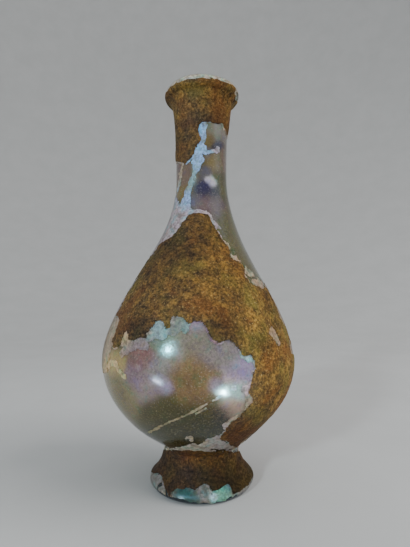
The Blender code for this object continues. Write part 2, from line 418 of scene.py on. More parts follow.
FLAKE_COLOURS = [
    (202, 130, 6, PALE_BLUE), (211, 125, 4, PALE_TEAL), (200, 150, 12, PALE_BLUE),
    (198, 165, 6, PALE_BLUE), (192, 180, 8, PALE_TEAL), (188, 200, 8, PALE_BLUE), (172, 222, 18, LAVENDER),
    (198, 211, 8, LAVENDER), (215, 151, 5, LAVENDER), (216, 225, 9, LAVENDER), (245, 270, 26, CREAM),
    (112, 335, 14, CREAM), (125, 338, 5, YELLOWISH), (148, 333, 4, CREAM), (180, 172, 6, CREAM),
    (170.5, 321, 4, LIP_CREAM), (186, 326, 4, PALE_TEAL), (205, 142, 3, PALE_BLUE),
    (138, 345, 12, MUTED_LAVENDER), (158, 330, 8, PALE_TEAL), (178, 325, 8, PALE_GREEN),
    (114, 364, 6, PALE_YELLOW), (122, 374, 5, PALE_YELLOW), (248, 358, 7, PALE_TEAL),
    (248, 359, 3, AQUA_WHITE), (248, 402, 8, CREAM), (190, 447, 14, LIP_CREAM), (200, 446, 6, LIP_CREAM),
    (215, 443, 12, LILAC_WHITE), (246, 438, 9, YELLOWISH), (156, 480, 8, GREY_WHITE), (183, 492, 6, TEAL),
    (181, 499, 2, AQUA_WHITE), (192, 497, 6, TEAL), (204, 492, 7, GREY_WHITE), (214, 497, 3, AQUA_WHITE),
    (222, 494, 7, AQUA), (228, 488, 4, BLUE_TEAL), (242, 490, 9, GREY_WHITE), (160, 427, 12, DULL_CREAM),
    (182, 417, 12, DULL_CREAM), (200, 407, 5, DULL_CREAM), (209, 402, 5, LIP_CREAM),
    # The aqua-white and pink-white flakes round the right glint are pale flakes brightened as a painted
    # highlight
    (224, 391, 6, AQUA_WHITE), (236, 389, 5, AQUA_WHITE), (246, 390, 5, PINK_WHITE),
    (140, 280, 30, LAVENDER), (285, 320, 25, CREAM), (205, 80, 22, LIP_CREAM), (275, 336, 8, BUFF),
    (210, 334, 10, VIOLET_GREY), (232, 343, 9, LILAC_GREY), (253, 372, 9, LAVENDER),
]

# How grimy the bare glass is: pixel x, y, reach and share
GRIME = [
    (160, 412, 14, 0.5), (185, 428, 16, 1.0), (212, 424, 16, 1.0), (156, 440, 10, 0.6),
    (190, 370, 40, 0.05), (215, 165, 20, 0.5), (245, 245, 30, 0.15), (200, 500, 20, 0.8),
]

# The crust's tone, as a share of its full colour, with its own hues and with painted light and shade:
# pixel x, y, reach and share
FULL_TONE = (1.12, 1.12, 1.15)
WARM_TONE = (1.32, 1.27, 1.05)
# Painted light: the crust's right side, lit from the right, made lighter and a little sandier
PAINTED_LIGHT_TONE = (1.84, 1.90, 1.68)
SHADED_TONE = (0.80, 0.76, 0.72)
DIM_TONE = (0.66, 0.61, 0.57)
GREY_TONE = (0.55, 0.54, 0.66)
DARK_TONE = (0.48, 0.42, 0.38)
RED_TONE = (0.80, 0.60, 0.34)
ORANGE_TONE = (1.05, 0.75, 0.36)
# Painted shade: the foot, in shadow under the belly, and its flanks made darker
FOOT_PAINTED_SHADE_TONE = (0.21, 0.17, 0.16)
FOOT_SIDE_PAINTED_SHADE_TONE = (0.42, 0.35, 0.30)
CRUST_TONES_AND_PAINTED_SHADE = [
    (205, 90, 18, WARM_TONE), (205, 116, 10, GREY_TONE), (188, 140, 14, SHADED_TONE),
    (200, 235, 16, SHADED_TONE), (180, 250, 14, DARK_TONE), (143, 288, 9, FULL_TONE),
    (158, 275, 16, SHADED_TONE), (190, 290, 24, WARM_TONE), (215, 270, 16, WARM_TONE),
    (268, 320, 18, PAINTED_LIGHT_TONE), (272, 360, 20, PAINTED_LIGHT_TONE), (265, 395, 14, PAINTED_LIGHT_TONE),
    (137, 328, 9, DARK_TONE), (120, 320, 9, FULL_TONE), (217, 326, 9, DIM_TONE),
    (232, 334, 8, SHADED_TONE), (266, 299, 5, SHADED_TONE), (271, 311, 5, DARK_TONE),
    (275, 323, 5, SHADED_TONE), (262, 345, 6, DARK_TONE), (240, 430, 10, RED_TONE),
    (252, 414, 9, WARM_TONE), (263, 412, 9, WARM_TONE), (203, 456, 14, ORANGE_TONE),
    (170, 460, 10, FOOT_SIDE_PAINTED_SHADE_TONE), (205, 475, 18, FOOT_PAINTED_SHADE_TONE), (245, 474, 12, FOOT_SIDE_PAINTED_SHADE_TONE),
    (163, 476, 10, FOOT_SIDE_PAINTED_SHADE_TONE), (170, 490, 9, FOOT_SIDE_PAINTED_SHADE_TONE), (230, 486, 10, FOOT_PAINTED_SHADE_TONE),
]

# How much the colour, grime or tone that fills the rest weighs in those lists
COLOUR_SHARE = 0.02
LIGHT_GRIME = 0.15
GRIME_SHARE = 0.1
TONE_SHARE = 0.05

# The stage: how far out its floor is flat, the bend beyond and the top, in metres
STAGE_FLAT = 0.5
STAGE_BEND = 1.1
STAGE_TOP = 1.6
STAGE_INNER_RINGS = [0.15, 0.3]
STAGE_BEND_ROWS = 14
STAGE_COLUMNS = 64

# Lamps that only glint: name, the photo's pixel where the glass mirrors it, how far off it is,
# size, power, colour, spread and roll in degrees
GLINTS = [
    ("key_glint", (168, 350), 0.9, (0.09, 0.09), 8.0, (0.24, 0.72, 1.0), 180, 0),
    ("left_glint", (158, 382), 0.085, (0.018, 0.0014), 0.0024, (0.76, 0.76, 1.0), 60, -35),
    ("right_glint", (223, 392), 0.055, (0.007, 0.005), 0.0030, (0.66, 0.92, 1.0), 40, 0),
]

# Lamps that light the flask, and the light all round
KEY_PIXEL = (168, 350)
KEY_REACH = 0.9
KEY_SIZE = (0.10, 0.10)
KEY_POWER = 6
KEY_COLOUR = (0.84, 0.95, 1.0)
SIDE_PLACE = (1.05, -0.35, 0.85)
SIDE_SIZE = (0.9, 0.9)
SIDE_POWER = 16
WORLD_COLOUR = (0.95, 0.97, 1.0, 1)
WORLD_STRENGTH = 0.9


def outline_arc(centre, half_width, half_height, start, end, count):
    angles = np.linspace(start, end, count)
    return np.column_stack([
        centre[0] + half_width * np.cos(angles), centre[1] + half_height * np.sin(angles),
    ])


def rim_outline():
    """From the roll's inner side over the top and down to its underside."""
    centre = (RIM_RADIUS - ROLL_WIDTH / 2, HEIGHT - ROLL_HEIGHT / 2)
    return outline_arc(centre, ROLL_WIDTH / 2, ROLL_HEIGHT / 2, ROLL_INSIDE, ROLL_UNDERSIDE, ROLL_POINTS)


def neck_outline():
    t = np.linspace(1, 0, NECK_POINTS)
    top = HEIGHT - ROLL_HEIGHT - NECK_SEAT
    radius = NECK_RADIUS + (NECK_TOP_RADIUS - NECK_RADIUS) * t ** 2
    return np.column_stack([radius, top - FLARE_LENGTH * (1 - t)])


def upper_belly_outline():
    t = np.linspace(1, 0, UPPER_POINTS)[:-1]
    swell = (1 + np.cos(math.pi * t ** UPPER_FULLNESS)) / 2
    radius = NECK_RADIUS + (BELLY_RADIUS - NECK_RADIUS) * swell
    return np.column_stack([radius, BELLY_HEIGHT + (NECK_START - BELLY_HEIGHT) * t])


def lower_belly_outline():
    t = np.linspace(1, 0, LOWER_POINTS)
    swell = 1 - (1 - t) ** LOWER_FULLNESS
    radius = WAIST_RADIUS + (BELLY_RADIUS - WAIST_RADIUS) * swell
    return np.column_stack([radius, WAIST_HEIGHT + (BELLY_HEIGHT - WAIST_HEIGHT) * t])


def foot_outline():
    """From below the waist down the flare, round the edge and to the ring."""
    centre = (RING_RADIUS, FOOT_EDGE_HEIGHT)
    edge = outline_arc(
        centre, FOOT_RADIUS - RING_RADIUS, FOOT_EDGE_HEIGHT, FOOT_EDGE_END, -math.pi / 2, FOOT_EDGE_POINTS,
    )
    t = np.linspace(0, 1, FOOT_POINTS)[1:-1]
    radius = WAIST_RADIUS + (edge[0][0] - WAIST_RADIUS) * t ** FLARE_CURVE
    flare = np.column_stack([radius, WAIST_HEIGHT + (edge[0][1] - WAIST_HEIGHT) * t])
    return np.vstack([flare, edge])


def underside_outline():
    """The hollow under the foot, from the ring's inner edge to its middle."""
    return outline_arc((0, 0), RING_RADIUS - RING_WIDTH, HOLLOW_DEPTH, 0, math.pi / 2, HOLLOW_POINTS)


def wall_outline():
    """The blown wall's outside, from the underside of the rim to the waist."""
    return np.vstack([neck_outline(), upper_belly_outline(), lower_belly_outline()])


def evenly(points, step):
    """The same outline with points about a step apart along it."""
    lengths = np.hypot(*np.diff(points, axis=0).T)
    along = np.concatenate([[0], np.cumsum(lengths)])
    places = np.linspace(0, along[-1], int(along[-1] / step) + 1)
    return np.column_stack([np.interp(places, along, points[:, k]) for k in (0, 1)])


def averaged(points, width):
    """Evenly spaced points, each blended with as many as width on either side of it."""
    padded = np.pad(points, ((width, width), (0, 0)), mode="reflect", reflect_type="odd")
    kernel = np.hanning(2 * width + 3)[1:-1]
    kernel = kernel / kernel.sum()
    return np.column_stack([np.convolve(padded[:, k], kernel, mode="valid") for k in (0, 1)])


def softened(points, reach, step):
    """The outline with its inner corners rounded off, its two ends kept."""
    return averaged(evenly(points, step), max(int(reach / step), 1))


def normals(points):
    """Outward directions of an outline that runs down its outer side."""
    along = np.gradient(points, axis=0)
    along = along / np.hypot(along[:, 0], along[:, 1])[:, None]
    return np.column_stack([-along[:, 1], along[:, 0]])


def outer_outline():
    parts = [rim_outline(), wall_outline(), foot_outline(), underside_outline()]
    return softened(np.vstack(parts), CORNER_SOFTNESS, OUTLINE_STEP)


def inner_outline():
    """The inside, from the middle of the cavity's floor up to the rim."""
    wall = evenly(wall_outline()[::-1], WALL_STEP)
    share = np.clip((wall[:, 1] - BELLY_HEIGHT) / (NECK_START - BELLY_HEIGHT), 0, 1)
    thickness = BELLY_WALL + (NECK_WALL - BELLY_WALL) * share
    inside = wall + normals(wall) * thickness[:, None]
    inside = inside[(inside[:, 0] > WAIST_RADIUS) | (inside[:, 1] > BELLY_HEIGHT)]
    t = np.linspace(0, 1, BOWL_POINTS)[:-1]
    floor = HOLLOW_DEPTH + FLOOR_WALL
    bowl = np.column_stack([inside[0][0] * t, floor + (inside[0][1] - floor) * t * t])
    return softened(np.vstack([bowl, inside]), CORNER_SOFTNESS, OUTLINE_STEP)


def smooth_step(low, high, value):
    t = np.clip((value - low) / (high - low), 0, 1)
    return t * t * (3 - 2 * t)


def axis_at(height):
    """The middle of the flask at a height, which sags to -X round the belly."""
    rise = smooth_step(WAIST_HEIGHT, SAG_FULL_HEIGHT, height)
    fall = 1 - smooth_step(SAG_FALL_HEIGHT, SAG_TOP_HEIGHT, height)
    return SAG - SAG * rise * fall


def noise(points, size, seed):
    """Smooth noise from 0 to 1 with lumps of about the given size."""
    count = LATTICE_CELLS
    lattice = np.random.default_rng(seed).random((count, count, count))
    cells = points / size + LATTICE_START
    low = np.floor(cells).astype(int)
    part = cells - low
    part = part * part * (3 - 2 * part)
    total = np.zeros(len(points))
    for corner in np.ndindex(2, 2, 2):
        weight = np.prod(np.where(corner, part, 1 - part), axis=1)
        i, j, k = ((low + corner) % count).T
        total += weight * lattice[i, j, k]
    return total


def unevenness(points, kind):
    """Noise with finer noise laid over it, of one of the kinds named above."""
    reach, size, seed, bias = kind
    total = np.zeros(len(points))
    for octave in range(OCTAVES):
        total += (noise(points, size / 2 ** octave, seed + octave) - 0.5) / 2 ** octave
    rough = total * 2 / (2 - 0.5 ** (OCTAVES - 1))
    return reach * (rough + bias)


OUTER = outer_outline()
OUTER_NORMALS = normals(OUTER)
OUTER_LENGTH = OUTLINE_STEP * (len(OUTER) - 1)


def crease_filling():
    """How far a crust that rounds off the crease under the rim stands off each outline point."""
    filled = averaged(OUTER, int(CREASE_REACH / OUTLINE_STEP))
    rise = ((filled - OUTER) * OUTER_NORMALS).sum(axis=1)
    under_rim = smooth_step(CREASE_FADE_HEIGHT, CREASE_FULL_HEIGHT, OUTER[:, 1])
    return np.clip(rise, 0, None) * under_rim


CREASE_FILLING = crease_filling()


def on_surface(along, angle, lift):
    """Points at a distance along the outer outline, an angle round it and a lift off it."""
    place = along / OUTLINE_STEP
    index = np.arange(len(OUTER))
    radius = np.interp(place, index, OUTER[:, 0])
    height = np.interp(place, index, OUTER[:, 1])
    out = np.interp(place, index, OUTER_NORMALS[:, 0])
    up = np.interp(place, index, OUTER_NORMALS[:, 1])
    calm = smooth_step(0, CALM_REACH, radius) * smooth_step(CALM_START, CALM_REACH, height)
    waves = sum(
        share * np.sin(number * angle + height / climb + start) for share, number, climb, start in WAVES
    )
    lift = lift * smooth_step(LIFT_START, LIFT_FULL, height) + WAVE_HEIGHT * calm * waves
    reach = radius + lift * out
    return np.column_stack([
        axis_at(height) + reach * np.cos(angle), reach * np.sin(angle), height + lift * up,
    ])


def camera_place():
    return np.array([SAG + CAMERA_RIGHT, -CAMERA_DISTANCE, CAMERA_HEIGHT])


def camera_axes():
    """The camera's forward and up directions."""
    forward = np.array([0, math.cos(CAMERA_PITCH), math.sin(CAMERA_PITCH)])
    up = np.array([0, -math.sin(CAMERA_PITCH), math.cos(CAMERA_PITCH)])
    return forward, up


def photo_pixels(points):
    """Where points fall in the photo."""
    forward, up = camera_axes()
    away = points - camera_place()
    depth = away @ forward
    x = PHOTO_WIDTH / 2 + FOCAL_PIXELS * away[:, 0] / depth
    y = PHOTO_HEIGHT / 2 - FOCAL_PIXELS * (away @ up) / depth
    return np.column_stack([x, y])


def to_line(pixels, line):
    """Distance from each pixel to the nearest of a line's stretches."""
    nearest = np.full(len(pixels), np.inf)
    for start, end in zip(line[:-1], line[1:]):
        start, end = np.array(start, float), np.array(end, float)
        run = end - start
        t = np.clip((pixels - start) @ run / (run @ run), 0, 1)
        gap = pixels - start - t[:, None] * run
        nearest = np.minimum(nearest, np.hypot(gap[:, 0], gap[:, 1]))
    return nearest


def depth_inside(pixels, outline):
    """How far each pixel lies inside a closed outline; less than 0 outside it."""
    closed = outline + outline[:1]
    inside = np.zeros(len(pixels), bool)
    for (x0, y0), (x1, y1) in zip(closed[:-1], closed[1:]):
        if y0 != y1:
            crosses = (pixels[:, 1] > min(y0, y1)) & (pixels[:, 1] <= max(y0, y1))
            at = x0 + (pixels[:, 1] - y0) * (x1 - x0) / (y1 - y0)
            inside ^= crosses & (pixels[:, 0] < at)
    distance = to_line(pixels, closed)
    return np.where(inside, distance, -distance)


def deepest(pixels, outlines):
    return np.max([depth_inside(pixels, outline) for outline in outlines], axis=0)


def facing(points, angle):
    """Near 1 where the wall faces the camera, and less than 0 round the back."""
    view = camera_place()[:2] - points[:, :2]
    view = view / np.hypot(view[:, 0], view[:, 1])[:, None]
    return np.cos(angle) * view[:, 0] + np.sin(angle) * view[:, 1]


def seen_share(points, angle):
    """1 where the photo sets what is there, fading to 0 at a wavering line past the silhouette."""
    waver = SEEN_WAVER * noise(points, SEEN_WAVER_SIZE, SEEN_SEED)
    return smooth_step(SEEN_FROM, SEEN_FULL, facing(points, angle) + waver)


def lip_top(points):
    """How far up the lip's crest a point lies, where the crust has worn off."""
    return points[:, 2] - (HEIGHT - LIP_WEAR)


def crust_depth(points, angle):
    """How far inside the crust each point lies; less than 0 on bare glass."""
    front = -deepest(photo_pixels(points), BARE_PLACES) * PIXEL_SIZE
    seen = seen_share(points, angle)
    depth = front * seen + unevenness(points, BACK_CRUST) * (1 - seen)
    depth += unevenness(points, CRUST_EDGE) + unevenness(points, CRUST_CRUMBS)
    worn = lip_top(points) + unevenness(points, WORN_LIP)
    return np.minimum(depth, -worn)


def flake_depth(points, angle):
    """How far inside the pale flakes each point lies."""
    crust = crust_depth(points, angle)
    front = deepest(photo_pixels(points), PALE_PLACES) * PIXEL_SIZE
    seen = seen_share(points, angle)
    depth = front * seen + unevenness(points, BACK_FLAKES) * (1 - seen)
    depth = np.maximum(depth, crust + unevenness(points, CRUST_FRINGE))
    depth = np.maximum(depth, lip_top(points) + LIP_FLAKES)
    depth += unevenness(points, FLAKE_EDGE)
    depth += unevenness(points, FLAKE_CRUMBS)
    return np.minimum(depth, UNDER_CRUST - crust)


def scratch_depth(points, angle):
    """How far inside the pale line that crosses the belly each point lies."""
    pixels = photo_pixels(points)
    pixels[:, 1] += unevenness(points, SCRATCH_WANDER)
    line = SCRATCH_HALF_WIDTH - to_line(pixels, SCRATCH)
    crumbs = depth_inside(pixels, SCRATCH_CRUMBS) - SCRATCH_CRUMB_DEPTH
    broken = np.maximum(line + unevenness(points, SCRATCH_EDGE), crumbs)
    broken += unevenness(points, SCRATCH_GAPS)
    return np.minimum(broken * PIXEL_SIZE, -crust_depth(points, angle))


def linear(colour):
    """A colour as the eye sees it, turned into the renderer's units."""
    value = np.asarray(colour, float)
    return np.where(value <= 0.04045, value / 12.92, ((value + 0.055) / 1.055) ** 2.4)


def blended(pixels, places, fallback, share):
    """Soft patches of colour or number, by pixel, reach and value; share weighs the fallback."""
    fallback = np.atleast_1d(fallback).astype(float)
    total = np.full((len(pixels), len(fallback)), share) * fallback
    weights = np.full(len(pixels), share)
    for x, y, reach, value in places:
        gap = ((pixels[:, 0] - x) ** 2 + (pixels[:, 1] - y) ** 2) / reach ** 2
        weight = np.exp(-gap)
        total += weight[:, None] * np.atleast_1d(value)
        weights += weight
    return total / weights[:, None]


def add_mesh(name, points, faces):
    mesh = bpy.data.meshes.new(name)
    mesh.from_pydata(np.asarray(points).tolist(), [], [list(face) for face in faces])
    mesh.polygons.foreach_set("use_smooth", [True] * len(mesh.polygons))
    mesh.update()
    mesh.set_sharp_from_angle(angle=SHARP_EDGE)
    piece = bpy.data.objects.new(name, mesh)
    bpy.context.scene.collection.objects.link(piece)
    return piece


def add_colours(piece, name, colours):
    """Store a colour, in the renderer's units, at each point of a piece."""
    layer = piece.data.color_attributes.new(name, "FLOAT_COLOR", "POINT")
    values = np.ones((len(piece.data.vertices), 4))
    values[:, :3] = colours
    layer.data.foreach_set("color", values.ravel())


def add_tint(piece, pixels, places, rest):
    """Colour the piece from a list of places in the photo, and what lies far from them with rest."""
    places = [(*place[:3], linear(place[3])) for place in places]
    add_colours(piece, "tint", blended(pixels, places, linear(rest), COLOUR_SHARE))


def grid_faces(rows, columns, closed):
    """Four-cornered faces of a grid, outward; a closed one runs all round the flask."""
    last = columns if closed else columns - 1
    i, j = np.meshgrid(np.arange(rows - 1), np.arange(last), indexing="ij")
    right = (j + 1) % columns
    corners = [i * columns + j, (i + 1) * columns + j, (i + 1) * columns + right, i * columns + right]
    return np.column_stack([c.ravel() for c in corners])


def closed_shell(name, top, base, faces):
    """A thin piece with a top, a base and walls along its edges."""
    used, faces = np.unique(faces, return_inverse=True)
    faces = faces.reshape(-1, 4)
    count = len(used)
    starts = faces.ravel()
    ends = np.roll(faces, -1, axis=1).ravel()
    edge = ~np.isin(starts * count + ends, ends * count + starts)
    a, b = starts[edge], ends[edge]
    walls = np.column_stack([b, a, a + count, b + count])
    points = np.vstack([top[used], base[used]])
    piece = add_mesh(name, points, np.vstack([faces, faces[:, ::-1] + count, walls]))
    return piece, used


def drawn_to_edge(depth, along, angle):
    """Move the grid points just inside a patch's edge out onto it."""
    row_step = along[1, 0] - along[0, 0]
    column_step = angle[0, 1] - angle[0, 0]
    padded = np.pad(depth, 1, mode="edge")
    neighbours = [
        (padded[:-2, 1:-1], -row_step, 0), (padded[2:, 1:-1], row_step, 0),
        (padded[1:-1, :-2], 0, -column_step), (padded[1:-1, 2:], 0, column_step),
    ]
    moved_along, moved_angle = along.copy(), angle.copy()
    for other, d_along, d_angle in neighbours:
        share = np.where((depth > 0) & (other <= 0), depth / np.maximum(depth - other, 1e-9), 0)
        moved_along += share * d_along
        moved_angle += share * d_angle
    return moved_along, moved_angle


def layer_patch(name, span, turn, step, depth_of, lift_of):
    """One piece of a layer: span runs along the outline and turn round the flask."""
    rows = int(round((span[1] - span[0]) / step)) + 1
    columns = int(round((turn[1] - turn[0]) * BELLY_RADIUS / step))
    closed = turn[1] - turn[0] > 1.99 * math.pi
    along, angle = np.meshgrid(
        np.linspace(*span, rows), np.linspace(*turn, columns, endpoint=not closed), indexing="ij",
    )
    flat = on_surface(along.ravel(), angle.ravel(), 0)
    depth = depth_of(flat, angle.ravel()).reshape(along.shape)
    faces = grid_faces(rows, columns, closed)
    faces = faces[(depth.ravel()[faces] > 0).all(axis=1)]
    along, angle = drawn_to_edge(depth, along, angle)
    top = on_surface(along.ravel(), angle.ravel(), lift_of(flat, depth.ravel()))
    base = on_surface(along.ravel(), angle.ravel(), LAYER_BASE)
    piece, used = closed_shell(name, top, base, faces)
    return piece, flat[np.concatenate([used, used])]


def crust_lift(points, depth):
    """How far the crust's top stands off, thinner towards its edges."""
    rise = smooth_step(0, CRUST_SLOPE, depth)
    lift = CRUST_EDGE_LEVEL + (CRUST_LEVEL - CRUST_EDGE_LEVEL) * rise
    crest = int(np.argmax(OUTER[:, 1]))
    lift = lift + np.interp(points[:, 2], OUTER[:crest:-1, 1], CREASE_FILLING[:crest:-1])
    lumps = unevenness(points, CRUST_LUMPS) + unevenness(points, CRUST_GRAINS)
    return lift + lumps * (EDGE_LUMPS + (1 - EDGE_LUMPS) * rise)


def flake_lift(points, depth):
    """How far a flake's top stands off, curling up a little in places."""
    curl = np.clip(unevenness(points, FLAKE_CURL), 0, None)
    return FLAKE_LEVEL + curl + unevenness(points, FLAKE_LUMPS)


# Materials

def new_material(name):
    material = bpy.data.materials.new(name)
    material.use_nodes = True
    tree = material.node_tree
    return material, tree, tree.nodes["Principled BSDF"]


def set_inputs(node, values):
    for name, value in values.items():
        node.inputs[name].default_value = value


def noise_node(tree, size, detail=4, roughness=0.6):
    """Noise in the object's own space, with lumps of about the given size."""
    coordinates = tree.nodes.new("ShaderNodeTexCoord")
    texture = tree.nodes.new("ShaderNodeTexNoise")
    set_inputs(texture, {"Scale": 1 / size, "Detail": detail, "Roughness": roughness})
    tree.links.new(coordinates.outputs["Object"], texture.inputs["Vector"])
    return texture.outputs["Fac"]


def ramp_node(tree, factor, stops):
    """A run of colours, each given with its place from 0 to 1."""
    ramp = tree.nodes.new("ShaderNodeValToRGB")
    while len(ramp.color_ramp.elements) < len(stops):
        ramp.color_ramp.elements.new(0.5)
    for element, (place, colour) in zip(ramp.color_ramp.elements, stops):
        element.position = place
        element.color = (*linear(colour), 1)
    tree.links.new(factor, ramp.inputs["Fac"])
    return ramp.outputs["Color"]


def mix_node(tree, kind, factor, first, second):
    """Two colours mixed; each may be a node's socket, a colour as the eye sees it or a number."""
    mix = tree.nodes.new("ShaderNodeMix")
    mix.data_type = "RGBA"
    mix.blend_type = kind
    for socket, value in ((mix.inputs[0], factor), (mix.inputs[6], first), (mix.inputs[7], second)):
        if isinstance(value, bpy.types.NodeSocket):
            tree.links.new(value, socket)
        elif isinstance(value, tuple):
            socket.default_value = (*linear(value), 1)
        else:
            socket.default_value = value
    return mix.outputs[2]


def times_node(tree, first, second):
    return mix_node(tree, "MULTIPLY", 1.0, first, second)


def range_node(tree, value, low, high, new_low, new_high):
    remap = tree.nodes.new("ShaderNodeMapRange")
    set_inputs(remap, {"From Min": low, "From Max": high, "To Min": new_low, "To Max": new_high})
    tree.links.new(value, remap.inputs["Value"])
    return remap.outputs["Result"]


def spotted(tree, below, colour, where, low, high, share):
    """The colour below, giving way to another by up to share as the noise goes from low to high."""
    return mix_node(tree, "MIX", range_node(tree, where, low, high, 0, share), below, colour)


def attribute_node(tree, name):
    attribute = tree.nodes.new("ShaderNodeAttribute")
    attribute.attribute_name = name
    return attribute.outputs["Color"]


def bump_node(tree, height, distance, strength, below=None):
    bump = tree.nodes.new("ShaderNodeBump")
    set_inputs(bump, {"Distance": distance, "Strength": strength})
    tree.links.new(height, bump.inputs["Height"])
    if below is not None:
        tree.links.new(below, bump.inputs["Normal"])
    return bump.outputs["Normal"]


def crust_material():
    material, tree, shader = new_material("ochre_crust")
    broad = noise_node(tree, 15 * MM, 4, 0.6)
    patches = noise_node(tree, 4 * MM, 6, 0.7)
    grains = noise_node(tree, 1.0 * MM, 3, 0.7)
    specks = noise_node(tree, 0.7 * MM, 2, 0.6)
    earth = ramp_node(tree, patches, [
        (0.28, (0.17, 0.12, 0.06)), (0.42, (0.27, 0.195, 0.095)), (0.52, (0.34, 0.25, 0.115)),
        (0.62, (0.42, 0.31, 0.135)), (0.76, (0.49, 0.37, 0.19)),
    ])
    olive = spotted(tree, earth, OLIVE_EARTH, broad, 0.51, 0.62, 0.65)
    rusty = spotted(tree, olive, RUST, broad, 0.48, 0.37, 0.65)
    grained = times_node(tree, rusty, range_node(tree, grains, 0.3, 0.7, 0.42, 1.55))
    dusty = spotted(tree, grained, CRUST_DUST, specks, 0.62, 0.74, 0.6)
    pitted = spotted(tree, dusty, PIT, specks, 0.38, 0.28, 0.8)
    # The tone attribute holds the crust's own hues and painted light and shade: lighter on the right side,
    # darker on the foot
    toned_with_painted_shade = times_node(tree, pitted, attribute_node(tree, "tone"))
    tree.links.new(toned_with_painted_shade, shader.inputs["Base Color"])
    tree.links.new(range_node(tree, grains, 0.3, 0.7, 0.92, 0.62), shader.inputs["Roughness"])
    lumps = bump_node(tree, patches, 0.5 * MM, 0.6)
    tree.links.new(bump_node(tree, grains, 0.22 * MM, 0.8, lumps), shader.inputs["Normal"])
    set_inputs(shader, {"Specular IOR Level": 0.3})
    return material


def flake_material():
    material, tree, shader = new_material("pale_flakes")
    fine = noise_node(tree, 1.0 * MM, 4, 0.7)
    hue = noise_node(tree, 3.0 * MM, 3, 0.6)
    broad = noise_node(tree, 2.6 * MM, 4, 0.6)
    shift = ramp_node(tree, hue, [
        (0.34, (0.78, 0.94, 0.98)), (0.46, (0.98, 0.98, 0.96)), (0.55, (0.98, 0.93, 0.99)),
        (0.66, (0.98, 0.92, 0.84)),
    ])
    shifted = times_node(tree, attribute_node(tree, "tint"), shift)
    shade = range_node(tree, fine, 0.36, 0.64, 0.5, 1.35)
    tinted = times_node(tree, shifted, shade)
    stained = spotted(tree, tinted, STAIN, broad, 0.53, 0.64, 0.6)
    tree.links.new(stained, shader.inputs["Base Color"])
    tree.links.new(range_node(tree, fine, 0.3, 0.7, 0.42, 0.68), shader.inputs["Roughness"])
    tree.links.new(bump_node(tree, fine, 0.15 * MM, 0.7), shader.inputs["Normal"])
    set_inputs(shader, {
        "Coat Weight": 0.05, "Coat Roughness": 0.25, "Thin Film Thickness": 330, "Thin Film IOR": 1.55,
    })
    return material


def glass_material():
    material, tree, shader = new_material("filmed_glass")
    broad = noise_node(tree, 8 * MM, 4, 0.55)
    fine = noise_node(tree, 0.9 * MM, 4, 0.7)
    mottle = noise_node(tree, 3.2 * MM, 5, 0.65)
    shade = range_node(tree, broad, 0.3, 0.7, 0.8, 1.2)
    clouded = times_node(tree, attribute_node(tree, "tint"), shade)
    pearl = ramp_node(tree, mottle, [
        (0.32, (0.82, 0.97, 0.93)), (0.44, (0.98, 0.98, 0.90)), (0.54, (0.98, 0.93, 0.91)),
        (0.66, (0.92, 0.91, 0.99)),
    ])
    pearly = times_node(tree, clouded, pearl)
    grained = times_node(tree, pearly, range_node(tree, fine, 0.35, 0.65, 0.70, 1.30))
    streaks = range_node(tree, fine, 0.42, 0.58, 0, 1)
    grime = times_node(tree, attribute_node(tree, "grime"), streaks)
    specks = noise_node(tree, 0.55 * MM, 2, 0.6)
    dirtied = mix_node(tree, "MIX", grime, grained, DIRT)
    dusty = spotted(tree, dirtied, FILM_DUST, specks, 0.58, 0.70, 0.4)
    tree.links.new(dusty, shader.inputs["Base Color"])
    tree.links.new(range_node(tree, mottle, 0.3, 0.7, 0.14, 0.27), shader.inputs["Roughness"])
    waves = bump_node(tree, broad, 0.25 * MM, 0.3)
    tree.links.new(bump_node(tree, fine, 0.05 * MM, 0.7, waves), shader.inputs["Normal"])
    set_inputs(shader, {
        "Transmission Weight": 0.3, "IOR": 1.45, "Coat Weight": 0.35, "Coat Roughness": 0.05,
        "Thin Film Thickness": 200, "Thin Film IOR": 1.33,
    })
    return material


def stage_material():
    material, tree, shader = new_material("pale_stage")
    broad = noise_node(tree, 60 * MM, 3)
    shade = ramp_node(tree, broad, [(0.3, (0.70, 0.70, 0.695)), (0.7, (0.72, 0.72, 0.715))])
    tree.links.new(shade, shader.inputs["Base Color"])
    set_inputs(shader, {"Roughness": 0.95, "Specular IOR Level": 0.1})
    return material


# Pieces

def dress(piece, material):
    piece.data.materials.append(material)
    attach(piece, "root")


def glass_angles():
    """Angles round the flask, closer together on the side that the photo shows."""
    back = np.linspace(0, math.pi, GLASS_BACK_COLUMNS, endpoint=False)
    front = np.linspace(math.pi, 2 * math.pi, GLASS_FRONT_COLUMNS, endpoint=False)
    return np.concatenate([back, front])


